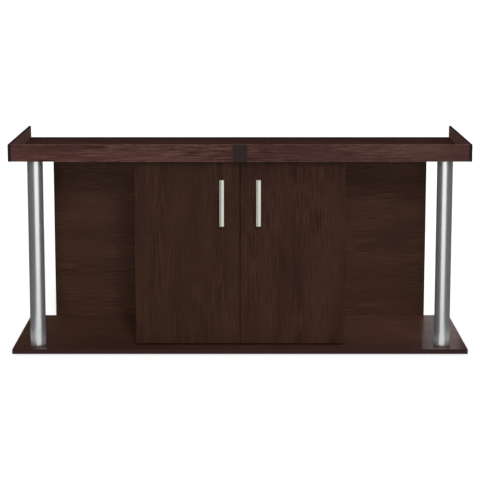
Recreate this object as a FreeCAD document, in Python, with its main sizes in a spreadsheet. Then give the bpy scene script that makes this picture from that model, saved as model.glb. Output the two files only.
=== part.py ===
import FreeCAD, Part
import math
import os
import re
import Sketcher

# Driving sizes in millimetres
SIZES = {
    # Tray on the top: it takes a tank of this length and width, and is open at the back
    "tank_length": 1500,
    "tank_width": 500,
    "tank_clearance": 2,
    "rim_thickness": 8,
    "rim_height": 57,
    "badge_width": 48,
    "badge_thickness": 2,
    # Boards
    "board_thickness": 16,
    "edge_radius": 1,
    "carcass_height": 632,
    "cabinet_width": 700,
    "back_width": 1338,
    "back_overhang": 24,
    "shelf_depth": 360,
    "shelf_rise": 300,
    "shelf_clearance": 1,
    # Doors and the pivots that they turn on
    "door_recess": 53,
    "door_gap": 3,
    "door_foot_gap": 6,
    "door_meeting_gap": 3,
    "pivot_inset": 8,
    "door_swing_clearance": 0.4,
    "pivot_radius": 3,
    "pivot_running_clearance": 0.05,
    "pivot_skin": 4,
    "pivot_reach": 13,
    "bush_radius": 5,
    "bush_length": 15,
    "bush_flange_radius": 6.5,
    "bush_flange_thickness": 1,
    # Pull handles
    "handle_length": 156,
    "handle_width": 16,
    "handle_reach": 28,
    "handle_bar_thickness": 5,
    "handle_crown": 2,
    "handle_ridge_radius": 4,
    "handle_leg_thickness": 9,
    "handle_inner_radius": 5,
    "handle_offset": 61,
    "handle_drop": 62,
    "handle_screw_radius": 2,
    "handle_screw_bite": 14,
    "handle_screw_head_radius": 4,
    "handle_screw_head_height": 2.5,
    "handle_screw_socket_flats": 3,
    "handle_screw_socket_depth": 1.4,
    # Magnetic catches on the partition and strike plates on the doors
    "catch_width": 13,
    "catch_depth": 18,
    "catch_height": 46,
    "catch_drop": 60,
    "catch_gap": 0.3,
    "magnet_width": 8,
    "magnet_depth": 5,
    "magnet_height": 26,
    "catch_screw_radius": 1.6,
    "catch_screw_setback": 11,
    "catch_screw_pitch": 30,
    "catch_screw_skin": 2,
    "catch_screw_head_radius": 3.2,
    "catch_screw_head_height": 1.8,
    "strike_width": 12,
    "strike_height": 40,
    "strike_thickness": 1.5,
    "strike_screw_radius": 1.6,
    "strike_screw_length": 12,
    "strike_screw_head_radius": 3,
    "strike_screw_head_height": 1,
    # Columns
    "column_radius": 26,
    "column_wall": 1.5,
    "column_chamfer": 0.8,
    "column_inset": 80,
    "column_setback": 64,
    "plug_length": 24,
    "plug_clearance": 0.1,
    "bolt_radius": 4,
    "bolt_bite": 18,
    "bolt_head_radius": 7,
    "bolt_head_height": 5,
    "bolt_socket_flats": 5,
    "bolt_socket_depth": 3,
    # Hose grommets
    "hose_radius": 27,
    "grommet_wall": 3,
    "grommet_flange": 4,
    "grommet_flange_thickness": 2,
    "grommet_offset": 170,
    "grommet_drop": 110,
    # Screws through the base and the back panel
    "base_screw_radius": 3.2,
    "base_screw_bite": 34,
    "base_screw_inset": 60,
    "base_screw_head_radius": 5,
    "base_screw_head_height": 3.5,
    "base_screw_socket_flats": 4,
    "base_screw_socket_depth": 2.2,
    "back_screw_radius": 2,
    "back_screw_bite": 24,
    "back_screw_inset": 60,
    "back_screw_spread": 220,
    "back_screw_head_radius": 4,
    "back_screw_head_height": 2.5,
    "back_screw_socket_flats": 3,
    "back_screw_socket_depth": 1.6,
    "head_sink": 0.5,
    # Cam fittings and dowels
    "cam_radius": 7.5,
    "cam_skin": 3.5,
    "cam_drop": 34,
    "cam_inset": 50,
    "cam_bolt_radius": 3.4,
    "cam_bolt_bite": 11,
    "dowel_radius": 4,
    "dowel_upper_bite": 11,
    "dowel_lower_bite": 18,
    "dowel_spread": 200,
    "rim_dowel_radius": 3,
    "rim_dowel_outer_bite": 5,
    "rim_dowel_inner_bite": 18,
    "rim_dowel_end_inset": 60,
    # Small parts
    "shelf_pin_radius": 2.5,
    "shelf_pin_bite": 7,
    "shelf_pin_reach": 9,
    "shelf_pin_inset": 40,
    "glide_radius": 15,
    "glide_height": 4,
    "glide_inset": 45,
    "fit_clearance": 0.1,
}

# Places that several pieces share, as formulas of the sizes
TRAY_WIDTH = "(tank_length + 2 * tank_clearance)"
TOP_WIDTH = f"({TRAY_WIDTH} + 2 * rim_thickness)"
TOP_DEPTH = "(tank_width + tank_clearance + rim_thickness)"
LEFT = f"(-{TOP_WIDTH} / 2)"
FRONT = f"((badge_thickness - {TOP_DEPTH}) / 2)"
BACK = f"((badge_thickness + {TOP_DEPTH}) / 2)"
PANEL_BACK = f"({BACK} - back_overhang)"
BACK_FACE = f"({PANEL_BACK} - board_thickness)"
BASE_TOP = "(glide_height + board_thickness)"
TOP_UNDERSIDE = f"({BASE_TOP} + carcass_height)"
TOP_FACE = f"({TOP_UNDERSIDE} + board_thickness)"
TOP_MIDDLE = f"({TOP_UNDERSIDE} + board_thickness / 2)"
CABINET_HALF = "(cabinet_width / 2)"
BOARD_HALF = "(board_thickness / 2)"
DOOR_FRONT = f"({FRONT} + door_recess)"
DOOR_BACK = f"({DOOR_FRONT} + board_thickness)"
DOOR_BOTTOM = f"({BASE_TOP} + door_foot_gap)"
DOOR_TOP = f"({TOP_UNDERSIDE} - door_gap)"
PIVOT_X = f"({CABINET_HALF} - pivot_inset)"
PIVOT_Y = f"({DOOR_FRONT} + {BOARD_HALF})"
PIVOT_SEAT = "(board_thickness - pivot_skin)"

# The uprights start just behind the circle that a door's back corner sweeps
UPRIGHT_FRONT = f"({PIVOT_Y} + sqrt(pivot_inset ^ 2 + {BOARD_HALF} ^ 2) + door_swing_clearance)"
UPRIGHT_MIDDLE = f"(({UPRIGHT_FRONT} + {BACK_FACE}) / 2)"
UPRIGHT_X = f"({CABINET_HALF} - {BOARD_HALF})"
UPRIGHTS = [f"(-{UPRIGHT_X})", "0", UPRIGHT_X]

HANDLE_TOP = f"({DOOR_TOP} - handle_drop)"
HANDLE_BOTTOM = f"({HANDLE_TOP} - handle_length)"
HANDLE_FRONT = f"({DOOR_FRONT} - handle_reach)"
HANDLE_SCREWS = [
    f"({HANDLE_BOTTOM} + handle_leg_thickness / 2)",
    f"({HANDLE_TOP} - handle_leg_thickness / 2)",
]
STRIKE_BACK = f"({DOOR_BACK} + strike_thickness)"
CATCH_FRONT = f"({STRIKE_BACK} + catch_gap)"
CATCH_Z = f"({DOOR_TOP} - catch_drop)"
CATCH_X = f"({BOARD_HALF} + catch_width / 2)"
COLUMN_X = f"({TOP_WIDTH} / 2 - column_inset)"
COLUMN_Y = f"({FRONT} + column_setback)"
CAM_Z = f"({TOP_UNDERSIDE} - cam_drop)"
CAM_DEPTH = "(board_thickness - cam_skin)"
SHELF_BOTTOM = f"({BASE_TOP} + shelf_rise)"
SHELF_BACK = f"({BACK_FACE} - shelf_clearance)"
SHELF_FRONT = f"({SHELF_BACK} - shelf_depth)"
GROMMET_Z = f"({TOP_UNDERSIDE} - grommet_drop)"
GROMMET_RADIUS = "(hose_radius + grommet_wall)"

# Where each kind of fastener stands, shared by the fastener and by its holes
PIVOT_SPOTS = [(f"(-{PIVOT_X})", PIVOT_Y), (PIVOT_X, PIVOT_Y)]
COLUMN_SPOTS = [(f"(-{COLUMN_X})", COLUMN_Y), (COLUMN_X, COLUMN_Y)]
BASE_SCREW_Y = [f"({UPRIGHT_FRONT} + base_screw_inset)", f"({BACK_FACE} - base_screw_inset)"]
CAM_Y = [f"({UPRIGHT_FRONT} + cam_inset)", f"({BACK_FACE} - cam_inset)"]
BACK_SCREW_Z = [
    f"({BASE_TOP} + back_screw_inset)",
    f"(({BASE_TOP} + {TOP_UNDERSIDE}) / 2)",
    f"({TOP_UNDERSIDE} - back_screw_inset)",
]
BASE_EDGE_Z = f"(glide_height + {BOARD_HALF})"
BASE_EDGE_X = [
    f"(-{CABINET_HALF} - back_screw_spread)",
    "(-back_screw_spread)",
    "back_screw_spread",
    f"({CABINET_HALF} + back_screw_spread)",
]
BACK_DOWEL_X = [
    f"(-{CABINET_HALF} - dowel_spread)",
    "(-dowel_spread)",
    "dowel_spread",
    f"({CABINET_HALF} + dowel_spread)",
]
BACK_DOWEL_Y = f"({BACK_FACE} + {BOARD_HALF})"
FASCIA_DOWEL_END = f"({TRAY_WIDTH} / 2 - rim_dowel_end_inset)"
FASCIA_DOWEL_X = [
    f"(-{FASCIA_DOWEL_END})",
    f"(-{FASCIA_DOWEL_END} / 2)",
    "0",
    f"({FASCIA_DOWEL_END} / 2)",
    FASCIA_DOWEL_END,
]
RIM_DOWEL_Y = [
    f"({FRONT} + rim_thickness + rim_dowel_end_inset)",
    f"(({FRONT} + rim_thickness + {BACK}) / 2)",
    f"({BACK} - rim_dowel_end_inset)",
]
SHELF_PIN_Y = [f"({SHELF_FRONT} + shelf_pin_inset)", f"({SHELF_BACK} - shelf_pin_inset)"]
SHELF_PIN_Z = f"({SHELF_BOTTOM} - shelf_pin_radius)"
GLIDE_X = [
    f"({LEFT} + glide_inset)",
    f"(-{UPRIGHT_X})",
    "0",
    UPRIGHT_X,
    f"(-{LEFT} - glide_inset)",
]
GLIDE_Y = [f"({FRONT} + glide_inset)", f"({BACK_FACE} - glide_inset)"]

SIDES = {"left": -1, "right": 1}

# For each axis: the plane square to it, the plane's own two axes, and which way its normal points
AXES = {
    "x": ("YZ_Plane", "y", "z", 1),
    "y": ("XZ_Plane", "x", "z", -1),
    "z": ("XY_Plane", "x", "y", 1),
}

doc = FreeCAD.newDocument("AquariumCabinet")
sheet = doc.addObject("Spreadsheet::Sheet", "Sizes")
for row, (name, number) in enumerate(SIZES.items(), start=1):
    sheet.set(f"A{row}", name)
    sheet.set(f"B{row}", str(number))
    sheet.setAlias(f"B{row}", name)
doc.recompute()

corners = {}
bodies = []


def formula(text):
    """Write each size named in a formula as a reference to the sheet."""
    return re.sub(r"\b[a-z]\w*\b(?!\()", lambda word: "Sizes." + word.group(), text)


def pairs(first, second):
    """Every spot at which one value of each list meets."""
    return [(u, v) for u in first for v in second]


def mirrored(sign, inner, outer):
    """The lower X of a piece that lies between two distances from the middle, on one side."""
    return f"({inner})" if sign > 0 else f"(-({outer}))"


def new_body(label, corner):
    """An empty body whose own zero lies at the given corner."""
    body = doc.addObject("PartDesign::Body", label)
    body.Label = label
    for axis, place in zip("xyz", corner):
        body.setExpression(f"Placement.Base.{axis}", formula(place))
    corners[body.Name] = dict(zip("xyz", corner))
    bodies.append(body)
    return body


def fastener_body(label):
    """A body for loose hardware, with its zero at the cabinet's lower left front corner."""
    return new_body(label, (LEFT, FRONT, "0"))


def local(body, axis, place):
    """A place along one axis, measured from the body's own zero."""
    return f"({place}) - ({corners[body.Name][axis]})"


def constrain(sketch, constraint, value):
    """Add a dimension to a sketch and bind it to a formula."""
    index = sketch.addConstraint(constraint)
    sketch.setExpression(f"Constraints[{index}]", formula(value))


def new_sketch(body, axis, start):
    """A sketch square to an axis, at a place along it."""
    role, _, _, normal = AXES[axis]
    plane = next(item for item in body.Origin.OriginFeatures if item.Role == role)
    sketch = body.newObject("Sketcher::SketchObject", "Sketch")
    sketch.AttachmentSupport = [(plane, "")]
    sketch.MapMode = "FlatFace"
    sketch.setExpression("AttachmentOffset.Base.z", formula(f"{normal} * ({local(body, axis, start)})"))
    return sketch


def hold_point(sketch, shape, point, place):
    """Hold one point of a shape at a place measured from the sketch's zero."""
    constrain(sketch, Sketcher.Constraint("DistanceX", -1, 1, shape, point, 1), place[0])
    constrain(sketch, Sketcher.Constraint("DistanceY", -1, 1, shape, point, 1), place[1])


def draw_circle(sketch, centre, radius):
    """A circle with its centre held from the sketch's zero."""
    circle = sketch.addGeometry(Part.Circle(FreeCAD.Vector(1, 1, 0), FreeCAD.Vector(0, 0, 1), 1))
    constrain(sketch, Sketcher.Constraint("Radius", circle, 1), radius)
    hold_point(sketch, circle, 3, centre)


def draw_polygon(sketch, places):
    """Straight lines through places measured from the sketch's zero, and back to the first."""
    turns = [2 * math.pi * index / len(places) for index in range(len(places))]
    guesses = [FreeCAD.Vector(math.cos(turn), math.sin(turn), 0) for turn in turns]
    lines = []
    for point, following in zip(guesses, guesses[1:] + guesses[:1]):
        lines.append(sketch.addGeometry(Part.LineSegment(point, following)))
    for line, following in zip(lines, lines[1:] + lines[:1]):
        sketch.addConstraint(Sketcher.Constraint("Coincident", line, 2, following, 1))
    for line, place in zip(lines, places):
        hold_point(sketch, line, 1, place)


def draw_rectangle(sketch, low, high):
    """An upright rectangle between two corners."""
    draw_polygon(sketch, [low, (high[0], low[1]), high, (low[0], high[1])])


def draw_hexagon(sketch, centre, flats):
    """A six-sided socket, sized across its flats."""
    reach = f"{flats} / sqrt(3)"
    offsets = [
        (reach, "0"),
        (f"{reach} / 2", f"{flats} / 2"),
        (f"-{reach} / 2", f"{flats} / 2"),
        (f"-{reach}", "0"),
        (f"-{reach} / 2", f"-{flats} / 2"),
        (f"{reach} / 2", f"-{flats} / 2"),
    ]
    draw_polygon(sketch, [(f"{centre[0]} + {x}", f"{centre[1]} + {y}") for x, y in offsets])


def extrude(body, kind, axis, start, end, sketch):
    """Pad or pocket a sketch from start to end along its axis."""
    item = body.newObject(f"PartDesign::{kind}", kind)
    item.Profile = sketch
    item.setExpression("Length", formula(f"({end}) - ({start})"))
    along_normal = AXES[axis][3] > 0
    item.Reversed = along_normal if kind == "Pocket" else not along_normal


def round_shapes(body, kind, axis, start, end, spots, draw, size):
    """Pad or pocket the same round or six-sided outline at every spot."""
    sketch = new_sketch(body, axis, start)
    _, across, up, _ = AXES[axis]
    for spot in spots:
        draw(sketch, (local(body, across, spot[0]), local(body, up, spot[1])), size)
    extrude(body, kind, axis, start, end, sketch)


def pegs(body, axis, start, end, radius, spots):
    """Round stock at every spot, from start to end along an axis."""
    round_shapes(body, "Pad", axis, start, end, spots, draw_circle, radius)


def bores(body, axis, start, end, radius, spots):
    """Round holes at every spot, from start to end along an axis."""
    round_shapes(body, "Pocket", axis, start, end, spots, draw_circle, radius)


def sockets(body, axis, start, end, flats, spots):
    """Six-sided driver sockets at every spot, from start to end along an axis."""
    round_shapes(body, "Pocket", axis, start, end, spots, draw_hexagon, flats)


def recess(body, axis, start, end, low, high):
    """A rectangular hollow between two corners, from start to end along an axis."""
    sketch = new_sketch(body, axis, start)
    _, across, up, _ = AXES[axis]
    corner_pair = [(local(body, across, corner[0]), local(body, up, corner[1])) for corner in (low, high)]
    draw_rectangle(sketch, *corner_pair)
    extrude(body, "Pocket", axis, start, end, sketch)


def board(label, corner, size):
    """A rectangular block, drawn as its plan and padded upward."""
    body = new_body(label, corner)
    sketch = new_sketch(body, "z", corner[2])
    draw_rectangle(sketch, ("0", "0"), (size[0], size[1]))
    extrude(body, "Pad", "z", "0", size[2], sketch)
    return body


def straight_direction(edge):
    """The axis that a straight edge runs along, or None."""
    if len(edge.Vertexes) < 2 or not isinstance(edge.Curve, Part.Line):
        return None
    span = edge.Vertexes[1].Point - edge.Vertexes[0].Point
    return max("xyz", key=lambda axis: abs(getattr(span, axis)))


def round_edges(body, radius, chosen):
    """Fillet the edges that the given test picks out of the body as it stands."""
    doc.recompute()
    base = body.Tip
    names = [f"Edge{index}" for index, edge in enumerate(base.Shape.Edges, start=1) if chosen(edge)]
    fillet = body.newObject("PartDesign::Fillet", "Rounding")
    fillet.Base = (base, names)
    fillet.setExpression("Radius", formula(radius))


def round_all_edges(body):
    """The thin edge band's rounding, on every edge of a plain board."""
    round_edges(body, "edge_radius", lambda edge: True)


def clear(radius):
    """A hole's radius for stock of the given radius."""
    return f"({radius} + fit_clearance)"


def make_base_panel():
    body = board(
        "base_panel",
        (LEFT, FRONT, "glide_height"),
        (TOP_WIDTH, f"{BACK_FACE} - {FRONT}", "board_thickness"),
    )
    round_all_edges(body)
    screw_spots = pairs(UPRIGHTS, BASE_SCREW_Y)
    edge_spots = pairs(BASE_EDGE_X, [BASE_EDGE_Z])
    bores(body, "z", f"{BASE_TOP} - {PIVOT_SEAT}", BASE_TOP, clear("pivot_radius"), PIVOT_SPOTS)
    bores(body, "z", "glide_height", BASE_TOP, clear("bolt_radius"), COLUMN_SPOTS)
    bores(body, "z", "glide_height", f"glide_height + {head_room('bolt')}",
          clear("bolt_head_radius"), COLUMN_SPOTS)
    bores(body, "z", "glide_height", BASE_TOP, clear("base_screw_radius"), screw_spots)
    bores(body, "z", "glide_height", f"glide_height + {head_room('base_screw')}",
          clear("base_screw_head_radius"), screw_spots)
    bores(body, "y", f"{BACK_FACE} - back_screw_bite", BACK_FACE, clear("back_screw_radius"), edge_spots)


def head_room(fastener):
    """The depth of the hole that sinks a fastener's head below the surface."""
    return f"({fastener}_head_height + head_sink)"


def make_top_panel():
    body = board(
        "top_panel",
        (f"(-{TRAY_WIDTH} / 2)", f"({FRONT} + rim_thickness)", TOP_UNDERSIDE),
        (TRAY_WIDTH, f"{TOP_DEPTH} - rim_thickness", "board_thickness"),
    )
    dowel_spots = pairs(UPRIGHTS, [UPRIGHT_MIDDLE]) + pairs(BACK_DOWEL_X, [BACK_DOWEL_Y])
    bores(body, "z", TOP_UNDERSIDE, f"{TOP_UNDERSIDE} + {PIVOT_SEAT}", clear("pivot_radius"), PIVOT_SPOTS)
    bores(body, "z", TOP_UNDERSIDE, TOP_FACE, clear("bolt_radius"), COLUMN_SPOTS)
    bores(body, "z", f"{TOP_FACE} - {head_room('bolt')}", TOP_FACE, clear("bolt_head_radius"), COLUMN_SPOTS)
    bores(body, "z", TOP_UNDERSIDE, f"{TOP_UNDERSIDE} + cam_bolt_bite", clear("cam_bolt_radius"),
          pairs(UPRIGHTS, CAM_Y))
    bores(body, "z", TOP_UNDERSIDE, f"{TOP_UNDERSIDE} + dowel_upper_bite", clear("dowel_radius"), dowel_spots)
    front_edge = f"({FRONT} + rim_thickness)"
    bores(body, "y", front_edge, f"{front_edge} + rim_dowel_inner_bite", clear("rim_dowel_radius"),
          pairs(FASCIA_DOWEL_X, [TOP_MIDDLE]))
    for sign in SIDES.values():
        inner = f"({TRAY_WIDTH} / 2 - rim_dowel_inner_bite)"
        outer = f"({TRAY_WIDTH} / 2)"
        start = mirrored(sign, inner, outer)
        bores(body, "x", start, f"{start} + rim_dowel_inner_bite", clear("rim_dowel_radius"),
              pairs(RIM_DOWEL_Y, [TOP_MIDDLE]))


def make_front_fascia():
    body = board(
        "front_fascia",
        (f"(-{TRAY_WIDTH} / 2)", FRONT, TOP_UNDERSIDE),
        (TRAY_WIDTH, "rim_thickness", "rim_height"),
    )
    round_all_edges(body)
    inner_face = f"({FRONT} + rim_thickness)"
    bores(body, "y", f"{inner_face} - rim_dowel_outer_bite", inner_face, clear("rim_dowel_radius"),
          pairs(FASCIA_DOWEL_X, [TOP_MIDDLE]))


def make_rim(side, sign):
    start = mirrored(sign, f"{TRAY_WIDTH} / 2", f"{TOP_WIDTH} / 2")
    body = board(f"{side}_rim", (start, FRONT, TOP_UNDERSIDE), ("rim_thickness", TOP_DEPTH, "rim_height"))
    round_all_edges(body)
    hole = mirrored(sign, f"{TRAY_WIDTH} / 2", f"{TRAY_WIDTH} / 2 + rim_dowel_outer_bite")
    bores(body, "x", hole, f"{hole} + rim_dowel_outer_bite", clear("rim_dowel_radius"),
          pairs(RIM_DOWEL_Y, [TOP_MIDDLE]))


def make_badge_plate():
    """A bare plate that covers the flat of the fascia between its rounded edges."""
    body = board(
        "badge_plate",
        ("(-badge_width / 2)", f"({FRONT} - badge_thickness)", f"({TOP_UNDERSIDE} + edge_radius)"),
        ("badge_width", "badge_thickness", "(rim_height - 2 * edge_radius)"),
    )
    round_edges(body, "edge_radius", lambda edge: straight_direction(edge) == "y")


def make_back_panel():
    body = board(
        "back_panel",
        ("(-back_width / 2)", BACK_FACE, "glide_height"),
        ("back_width", "board_thickness", f"{TOP_UNDERSIDE} - glide_height"),
    )
    screw_spots = back_screw_spots()
    bores(body, "y", BACK_FACE, PANEL_BACK, clear(GROMMET_RADIUS), grommet_spots())
    bores(body, "y", BACK_FACE, PANEL_BACK, clear("back_screw_radius"), screw_spots)
    bores(body, "y", f"{PANEL_BACK} - {head_room('back_screw')}", PANEL_BACK,
          clear("back_screw_head_radius"), screw_spots)
    bores(body, "z", f"{TOP_UNDERSIDE} - dowel_lower_bite", TOP_UNDERSIDE, clear("dowel_radius"),
          pairs(BACK_DOWEL_X, [BACK_DOWEL_Y]))


def back_screw_spots():
    """Screws into the back edges of the uprights, then into the base's back edge."""
    return pairs(UPRIGHTS, BACK_SCREW_Z) + pairs(BASE_EDGE_X, [BASE_EDGE_Z])


def grommet_spots():
    return [("(-grommet_offset)", GROMMET_Z), ("grommet_offset", GROMMET_Z)]


def cam_starts():
    """The lower X of each upright's cam holes: they open on the bays' side."""
    inner_face = f"({CABINET_HALF} - board_thickness)"
    return [f"(-{inner_face} - {CAM_DEPTH})", f"(-{BOARD_HALF})", inner_face]


def make_upright(label, middle, cam_start):
    """A side panel or the partition, with the holes that all three share."""
    body = board(
        label,
        (f"({middle} - {BOARD_HALF})", UPRIGHT_FRONT, BASE_TOP),
        ("board_thickness", f"{BACK_FACE} - {UPRIGHT_FRONT}", "carcass_height"),
    )
    round_edges(body, "edge_radius", is_front_edge)
    bores(body, "z", BASE_TOP, f"{BASE_TOP} + base_screw_bite", clear("base_screw_radius"),
          pairs([middle], BASE_SCREW_Y))
    bores(body, "y", f"{BACK_FACE} - back_screw_bite", BACK_FACE, clear("back_screw_radius"),
          pairs([middle], BACK_SCREW_Z))
    bores(body, "z", f"{TOP_UNDERSIDE} - dowel_lower_bite", TOP_UNDERSIDE, clear("dowel_radius"),
          [(middle, UPRIGHT_MIDDLE)])
    bores(body, "x", cam_start, f"{cam_start} + {CAM_DEPTH}", clear("cam_radius"), pairs(CAM_Y, [CAM_Z]))
    bores(body, "z", CAM_Z, TOP_UNDERSIDE, clear("cam_bolt_radius"), pairs([middle], CAM_Y))
    return body


def is_front_edge(edge):
    """The two upright edges at a board's own front."""
    return straight_direction(edge) == "z" and abs(edge.CenterOfMass.y) < sheet.edge_radius / 2


def make_uprights():
    labels = ["left_side_panel", "centre_partition", "right_side_panel"]
    left, partition, right = [
        make_upright(label, middle, start)
        for label, middle, start in zip(labels, UPRIGHTS, cam_starts())
    ]
    pin_spots = pairs(SHELF_PIN_Y, [SHELF_PIN_Z])
    left_wall, right_wall = shelf_walls()
    bores(partition, "x", f"{left_wall} - shelf_pin_bite", left_wall, clear("shelf_pin_radius"), pin_spots)
    bores(right, "x", right_wall, f"{right_wall} + shelf_pin_bite", clear("shelf_pin_radius"), pin_spots)
    for sign in SIDES.values():
        start = mirrored(sign, f"{BOARD_HALF} - {catch_screw_bite()}", BOARD_HALF)
        bores(partition, "x", start, f"{start} + {catch_screw_bite()}", clear("catch_screw_radius"),
              catch_screw_spots())


def shelf_walls():
    """The two faces of the right bay that carry the shelf."""
    return BOARD_HALF, f"({CABINET_HALF} - board_thickness)"


def make_shelf():
    left_wall, right_wall = shelf_walls()
    body = board(
        "right_shelf",
        (f"({left_wall} + shelf_clearance)", SHELF_FRONT, SHELF_BOTTOM),
        (f"{right_wall} - {left_wall} - 2 * shelf_clearance", "shelf_depth", "board_thickness"),
    )
    round_edges(body, "edge_radius", is_shelf_lip)
    pins = fastener_body("shelf_pins")
    spots = pairs(SHELF_PIN_Y, [SHELF_PIN_Z])
    pegs(pins, "x", f"{left_wall} - shelf_pin_bite", f"{left_wall} + shelf_pin_reach",
         "shelf_pin_radius", spots)
    pegs(pins, "x", f"{right_wall} - shelf_pin_reach", f"{right_wall} + shelf_pin_bite",
         "shelf_pin_radius", spots)


def is_shelf_lip(edge):
    """The two long edges at the shelf's own front."""
    return straight_direction(edge) == "x" and abs(edge.CenterOfMass.y) < sheet.edge_radius / 2


def make_door(side, sign):
    start = mirrored(sign, "door_meeting_gap / 2", CABINET_HALF)
    body = board(
        f"{side}_door",
        (start, DOOR_FRONT, DOOR_BOTTOM),
        (f"{CABINET_HALF} - door_meeting_gap / 2", "board_thickness", f"{DOOR_TOP} - {DOOR_BOTTOM}"),
    )
    round_all_edges(body)
    pivot = [(f"{sign} * {PIVOT_X}", PIVOT_Y)]
    bores(body, "z", DOOR_BOTTOM, f"{DOOR_BOTTOM} + bush_length", clear("bush_radius"), pivot)
    bores(body, "z", f"{DOOR_TOP} - bush_length", DOOR_TOP, clear("bush_radius"), pivot)
    bores(body, "y", DOOR_FRONT, DOOR_BACK, clear("handle_screw_radius"), handle_screw_spots(sign))
    bores(body, "y", f"{STRIKE_BACK} - strike_screw_length", DOOR_BACK, clear("strike_screw_radius"),
          strike_screw_spots(sign))


def make_door_bushes(side, sign):
    """The flanged bushes in a door's lower and upper edge."""
    body = fastener_body(f"{side}_door_bushes")
    pivot = [(f"{sign} * {PIVOT_X}", PIVOT_Y)]
    lower_face = f"({DOOR_BOTTOM} - bush_flange_thickness)"
    upper_face = f"({DOOR_TOP} + bush_flange_thickness)"
    pegs(body, "z", lower_face, DOOR_BOTTOM, "bush_flange_radius", pivot)
    pegs(body, "z", lower_face, f"{DOOR_BOTTOM} + bush_length", "bush_radius", pivot)
    pegs(body, "z", DOOR_TOP, upper_face, "bush_flange_radius", pivot)
    pegs(body, "z", f"{DOOR_TOP} - bush_length", upper_face, "bush_radius", pivot)
    bores(body, "z", lower_face, upper_face, "pivot_radius + pivot_running_clearance", pivot)


def make_pivots():
    """The fixed pins that the doors turn on, and the washers that carry the doors' weight."""
    pins = fastener_body("pivot_pins")
    pegs(pins, "z", f"{BASE_TOP} - {PIVOT_SEAT}", f"{DOOR_BOTTOM} + pivot_reach",
         "pivot_radius", PIVOT_SPOTS)
    pegs(pins, "z", f"{DOOR_TOP} - pivot_reach", f"{TOP_UNDERSIDE} + {PIVOT_SEAT}",
         "pivot_radius", PIVOT_SPOTS)
    washers = fastener_body("thrust_washers")
    washer_top = f"({DOOR_BOTTOM} - bush_flange_thickness)"
    pegs(washers, "z", BASE_TOP, washer_top, "bush_flange_radius", PIVOT_SPOTS)
    bores(washers, "z", BASE_TOP, washer_top, clear("pivot_radius"), PIVOT_SPOTS)


def handle_screw_spots(sign):
    return pairs([f"{sign} * handle_offset"], HANDLE_SCREWS)


def make_handle(side, sign):
    """A pull bar with a ridged front, both ends turned back to the door."""
    left_face = f"({sign} * handle_offset - handle_width / 2)"
    body = new_body(f"{side}_handle", (left_face, HANDLE_FRONT, HANDLE_BOTTOM))
    outline = new_sketch(body, "z", HANDLE_BOTTOM)
    draw_polygon(outline, [
        ("0", "handle_crown"),
        ("handle_width / 2", "0"),
        ("handle_width", "handle_crown"),
        ("handle_width", "handle_reach"),
        ("0", "handle_reach"),
    ])
    extrude(body, "Pad", "z", HANDLE_BOTTOM, HANDLE_TOP, outline)
    recess(body, "x", left_face, f"{left_face} + handle_width",
           (f"{HANDLE_FRONT} + handle_bar_thickness", f"{HANDLE_BOTTOM} + handle_leg_thickness"),
           (DOOR_FRONT, f"{HANDLE_TOP} - handle_leg_thickness"))
    round_edges(body, "handle_inner_radius", is_handle_inner_corner)
    round_edges(body, "handle_ridge_radius", is_handle_ridge)
    round_edges(body, "edge_radius", is_handle_rim)
    bores(body, "y", f"{DOOR_FRONT} - handle_screw_bite", DOOR_FRONT, clear("handle_screw_radius"),
          handle_screw_spots(sign))


def is_handle_inner_corner(edge):
    """The two corners where the legs leave the back of the bar."""
    bar_back = abs(edge.CenterOfMass.y - sheet.handle_bar_thickness) < sheet.edge_radius / 2
    return straight_direction(edge) == "x" and bar_back


def is_handle_ridge(edge):
    """The long line down the middle of the bar's front."""
    return straight_direction(edge) == "z" and abs(edge.CenterOfMass.y) < sheet.edge_radius / 2


def is_handle_rim(edge):
    """The closed line round the bar's front: its two sides and its two ends."""
    places = [vertex.Point for vertex in edge.Vertexes]
    in_front = all(place.y < sheet.handle_crown + sheet.edge_radius / 2 for place in places)
    at_end = all(min(place.z, sheet.handle_length - place.z) < sheet.edge_radius / 2 for place in places)
    at_side = all(min(place.x, sheet.handle_width - place.x) < sheet.edge_radius / 2 for place in places)
    return in_front and (at_end or at_side)


def make_handle_screws(side, sign):
    body = fastener_body(f"{side}_handle_screws")
    spots = handle_screw_spots(sign)
    head_face = f"({DOOR_BACK} + handle_screw_head_height)"
    pegs(body, "y", f"{DOOR_FRONT} - handle_screw_bite + head_sink", DOOR_BACK, "handle_screw_radius", spots)
    pegs(body, "y", DOOR_BACK, head_face, "handle_screw_head_radius", spots)
    sockets(body, "y", f"{head_face} - handle_screw_socket_depth", head_face,
            "handle_screw_socket_flats", spots)


def catch_screw_bite():
    """How deep a catch screw goes into the partition, short of the screw from its other side."""
    return f"({BOARD_HALF} - catch_screw_skin)"


def catch_screw_spots():
    y = f"({CATCH_FRONT} + catch_screw_setback)"
    return [(y, f"({CATCH_Z} - catch_screw_pitch / 2)"), (y, f"({CATCH_Z} + catch_screw_pitch / 2)")]


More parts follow.
